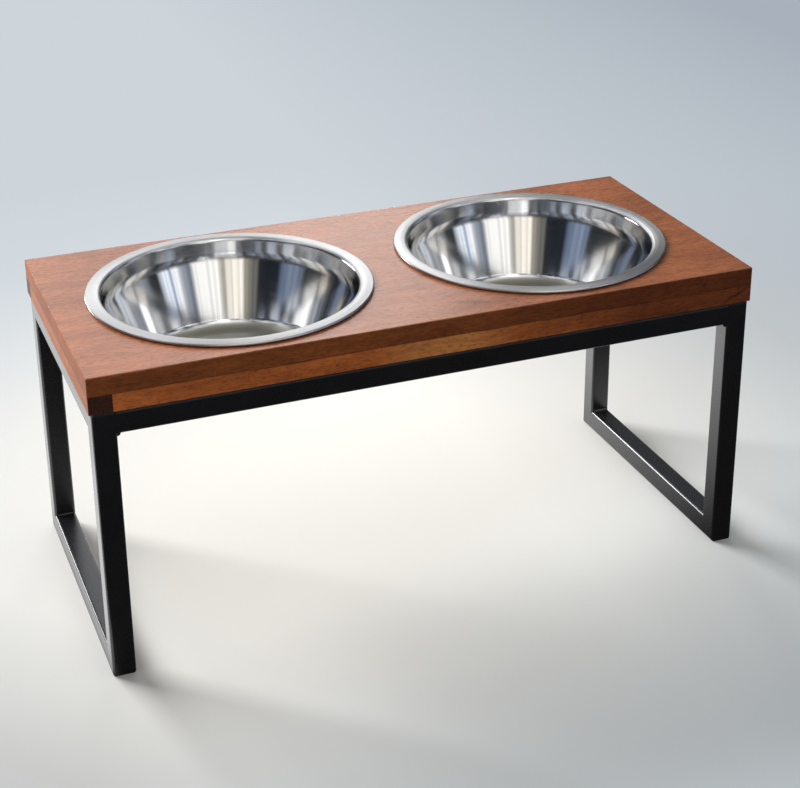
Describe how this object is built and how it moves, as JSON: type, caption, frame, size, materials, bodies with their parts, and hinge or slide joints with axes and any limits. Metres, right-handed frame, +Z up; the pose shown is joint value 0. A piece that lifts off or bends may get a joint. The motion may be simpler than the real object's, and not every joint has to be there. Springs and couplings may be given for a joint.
{
  "type": "dog feeding station",
  "caption": "Raised dog feeding station: stainless steel bowls hang by their rims in a hardwood top on a welded frame of square steel tube, and lift straight out.",
  "frame": {"origin": "on the floor below the middle of the top", "axes": "+X along the top's length to the right, +Y to the back, +Z up"},
  "size_m": [0.6, 0.27, 0.2814],
  "materials": {
    "hardwood_panel": "satin oiled reddish hardwood, grain along the length",
    "hardwood_strip": "satin oiled reddish hardwood, grain along each strip",
    "frame_powder_coat": "satin black powder coat",
    "bowl_steel": "spun and brushed stainless steel",
    "screw_zinc": "zinc plated"
  },
  "bodies": {
    "station": {"top_panel": "hardwood_panel", "left_edge_strip": "hardwood_strip", "front_edge_strip": "hardwood_strip", "right_edge_strip": "hardwood_strip", "back_edge_strip": "hardwood_strip", "front_rail": "frame_powder_coat", "back_rail": "frame_powder_coat", "left_runner": "frame_powder_coat", "left_cross_rail": "frame_powder_coat", "front_left_leg": "frame_powder_coat", "back_left_leg": "frame_powder_coat", "right_runner": "frame_powder_coat", "right_cross_rail": "frame_powder_coat", "front_right_leg": "frame_powder_coat", "back_right_leg": "frame_powder_coat", "side_frame_welds": "frame_powder_coat", "rail_welds": "frame_powder_coat", "top_screws": "screw_zinc"},
    "left_bowl": {"left_bowl": "bowl_steel"},
    "right_bowl": {"right_bowl": "bowl_steel"}
  },
  "joints": [
    {"name": "left_bowl_lift", "type": "slide", "parent": "station", "child": "left_bowl", "axis": [0, 0, 1], "range_m": [0, 0.1]},
    {"name": "right_bowl_lift", "type": "slide", "parent": "station", "child": "right_bowl", "axis": [0, 0, 1], "range_m": [0, 0.1]}
  ]
}
